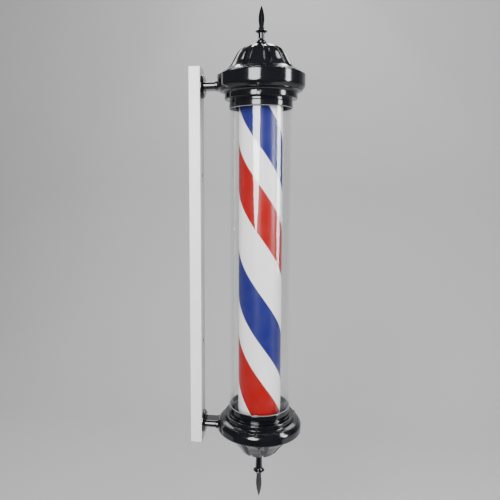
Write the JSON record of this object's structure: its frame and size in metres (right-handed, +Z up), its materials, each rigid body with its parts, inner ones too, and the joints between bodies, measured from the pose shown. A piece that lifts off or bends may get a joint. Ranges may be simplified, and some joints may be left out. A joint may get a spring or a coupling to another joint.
{
  "type": "barber pole light",
  "caption": "Wall-mounted barber pole light: a striped roller turns in a clear tube held between black fluted housings on a white back rail.",
  "frame": {"origin": "centre of the back rail's rear face, on the wall", "axes": "+Z up along the pole, +Y into the wall, -Y out towards the pole, X sideways"},
  "size_m": [0.157, 0.2065, 0.9106],
  "materials": {
    "white_enamel": "satin white enamel on aluminium",
    "white_plastic": "plain white plastic",
    "black_gloss": "glossy black moulded plastic",
    "black_enamel": "glossy black enamel",
    "clear_acrylic": "clear polished acrylic",
    "clear_seal": "translucent silicone",
    "black_rubber": "soft black rubber",
    "striped_print": "printed sheet with red, white and blue spiral bands",
    "zinc_steel": "zinc-plated steel",
    "black_screw": "black-oxide steel",
    "motor_steel": "drawn steel",
    "dark_magnet": "ferrite magnet on a steel shaft",
    "bronze": "sintered bronze",
    "cast_aluminium": "plain aluminium",
    "bearing_plastic": "acetal bearing plastic",
    "board_white": "white lamp board",
    "driver_grey": "grey sealed box"
  },
  "bodies": {
    "pole_frame": {"arm_bottom": "black_enamel", "arm_screws": "zinc_steel", "arm_top": "black_enamel", "bridge_bottom": "zinc_steel", "bridge_screws": "zinc_steel", "bridge_top": "zinc_steel", "cable_grommet": "black_rubber", "carrier_bottom": "zinc_steel", "carrier_screws": "zinc_steel", "carrier_top": "zinc_steel", "collar_bottom": "black_gloss", "collar_screws": "black_screw", "collar_top": "black_gloss", "dome_bottom": "black_gloss", "dome_top": "black_gloss", "driver_screws": "zinc_steel", "finial_bottom": "black_gloss", "finial_top": "black_gloss", "gasket_bottom": "black_rubber", "gasket_top": "black_rubber", "housing_bottom": "black_gloss", "housing_top": "black_gloss", "led_board_a": "board_white", "led_board_b": "board_white", "led_board_c": "board_white", "led_board_d": "board_white", "led_driver": "driver_grey", "light_post": "cast_aluminium", "lip_seal_bottom": "clear_seal", "lip_seal_top": "clear_seal", "motor_case": "motor_steel", "motor_lid": "motor_steel", "motor_nuts": "zinc_steel", "motor_screws": "zinc_steel", "post_screws": "zinc_steel", "rail_plug_bottom": "white_plastic", "rail_plug_top": "white_plastic", "rail_screws": "zinc_steel", "rosette_bottom": "black_enamel", "rosette_top": "black_enamel", "shaft_bush": "bronze", "spigot_screws": "zinc_steel", "spigot_top": "bearing_plastic", "stud_nuts": "zinc_steel", "studs": "zinc_steel", "terminal_block": "white_plastic", "terminal_screws": "zinc_steel", "tube_outer": "clear_acrylic", "wall_rail": "white_enamel"},
    "roller": {"coupling_screws": "zinc_steel", "coupling_set_screw": "black_screw", "drive_coupling": "cast_aluminium", "motor_shaft": "motor_steel", "roller_cap_bottom": "white_plastic", "roller_cap_top": "white_plastic", "roller_tube": "white_plastic", "stripe_sheet": "striped_print"},
    "rotor": {"motor_rotor": "dark_magnet"}
  },
  "joints": [
    {"name": "roller_spin", "type": "hinge", "parent": "pole_frame", "child": "roller", "pos_m": [0, -0.128, 0], "axis": [0, 0, 1], "continuous": true},
    {"name": "rotor_spin", "type": "hinge", "parent": "pole_frame", "child": "rotor", "pos_m": [0, -0.114, -0.325], "axis": [0, 0, 1], "continuous": true}
  ],
  "couplings": [
    {"joint": "rotor_spin", "follows": "roller_spin", "ratio": -10}
  ]
}
